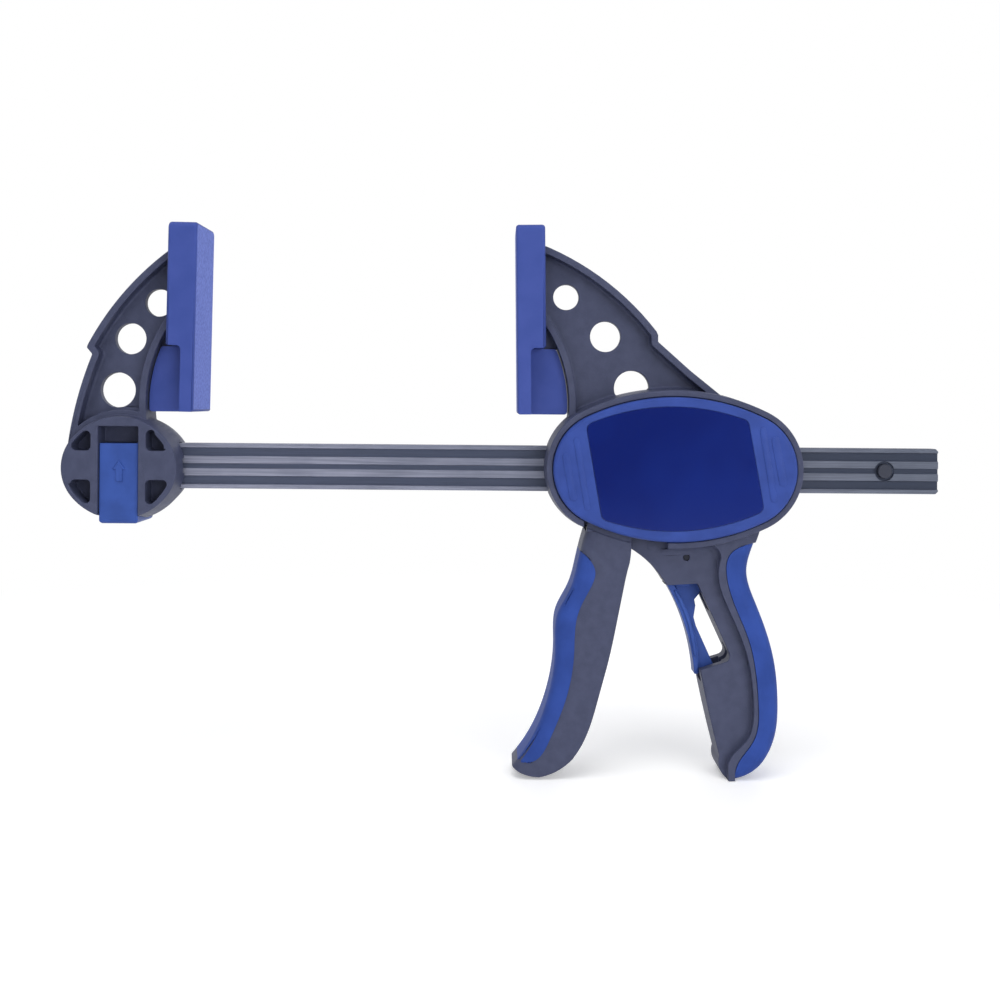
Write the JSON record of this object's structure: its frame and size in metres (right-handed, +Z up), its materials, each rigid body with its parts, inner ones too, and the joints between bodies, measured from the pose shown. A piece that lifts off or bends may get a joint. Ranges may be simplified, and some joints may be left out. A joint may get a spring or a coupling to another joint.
{
  "type": "quick release bar clamp",
  "caption": "Quick release bar clamp: padded jaws on a ribbed steel bar, a squeeze trigger, a release lever in the grip and a push button that frees the end jaw.",
  "frame": {"origin": "on the bar's centreline, level with the fixed jaw's clamping face, in the middle of the clamp's width", "axes": "+X along the bar from the fixed jaw to the free end, +Z up towards the jaw tips, -Y the front"},
  "size_m": [0.3476, 0.0356, 0.2169],
  "materials": {
    "bar_steel": "dark satin rolled steel",
    "pin_steel": "satin",
    "spring_steel": "satin",
    "filled_nylon": "fine grained",
    "blue_pad": "fine stipple",
    "blue_plastic": "smooth satin",
    "blue_rubber": "soft satin",
    "navy_badge": "gloss"
  },
  "bodies": {
    "clamp_bar": {"bar": "bar_steel", "stop_pin": "pin_steel", "lock_pin": "pin_steel", "fixed_jaw": "filled_nylon", "fixed_jaw_pad": "blue_pad", "jaw_button_spring": "spring_steel"},
    "button": {"jaw_button": "blue_plastic"},
    "moving_jaw": {"housing": "filled_nylon", "moving_jaw_pad": "blue_pad", "body_grip": "blue_rubber", "front_cover": "blue_plastic", "rear_cover": "blue_plastic", "front_badge": "navy_badge", "rear_badge": "navy_badge", "trigger_pin": "pin_steel", "release_pin": "pin_steel", "drive_spring": "spring_steel", "brake_spring": "spring_steel"},
    "trigger": {"trigger": "filled_nylon", "trigger_grip": "blue_rubber"},
    "drive": {"drive_plate": "pin_steel"},
    "release": {"release_lever": "blue_plastic"},
    "brake": {"brake_plate": "pin_steel"}
  },
  "joints": [
    {"name": "button_push", "type": "slide", "parent": "clamp_bar", "child": "button", "axis": [0, 0, 1], "range_m": [0, 0.0055], "stiffness_N_per_m": 300, "springref_m": -0.006, "deforming": ["jaw_button_spring"]},
    {"name": "jaw_slide", "type": "slide", "parent": "clamp_bar", "child": "moving_jaw", "axis": [1, 0, 0], "range_m": [-0.1233, 0.0308]},
    {"name": "trigger_squeeze", "type": "hinge", "parent": "moving_jaw", "child": "trigger", "pos_m": [0.1652, 0, 0.016], "axis": [0, -1, 0], "range_deg": [0, 16], "stiffness_Nm_per_rad": 0.3, "springref_deg": -28.65, "deforming": ["drive_spring"]},
    {"name": "drive_plate_slide", "type": "slide", "parent": "moving_jaw", "child": "drive", "axis": [1, 0, 0], "range_m": [0, 0.0089]},
    {"name": "release_press", "type": "hinge", "parent": "moving_jaw", "child": "release", "pos_m": [0.1927, 0, -0.0342], "axis": [0, -1, 0], "range_deg": [0, 10], "stiffness_Nm_per_rad": 0.1, "springref_deg": -22.92, "deforming": ["brake_spring"]},
    {"name": "brake_plate_tilt", "type": "hinge", "parent": "moving_jaw", "child": "brake", "pos_m": [0.2009, 0, 0.0155], "axis": [0, -1, 0], "range_deg": [0, 1.25]}
  ],
  "couplings": [
    {"joint": "drive_plate_slide", "follows": "trigger_squeeze", "m_per_rad": 0.0316},
    {"joint": "brake_plate_tilt", "follows": "release_press", "ratio": 0.119}
  ]
}
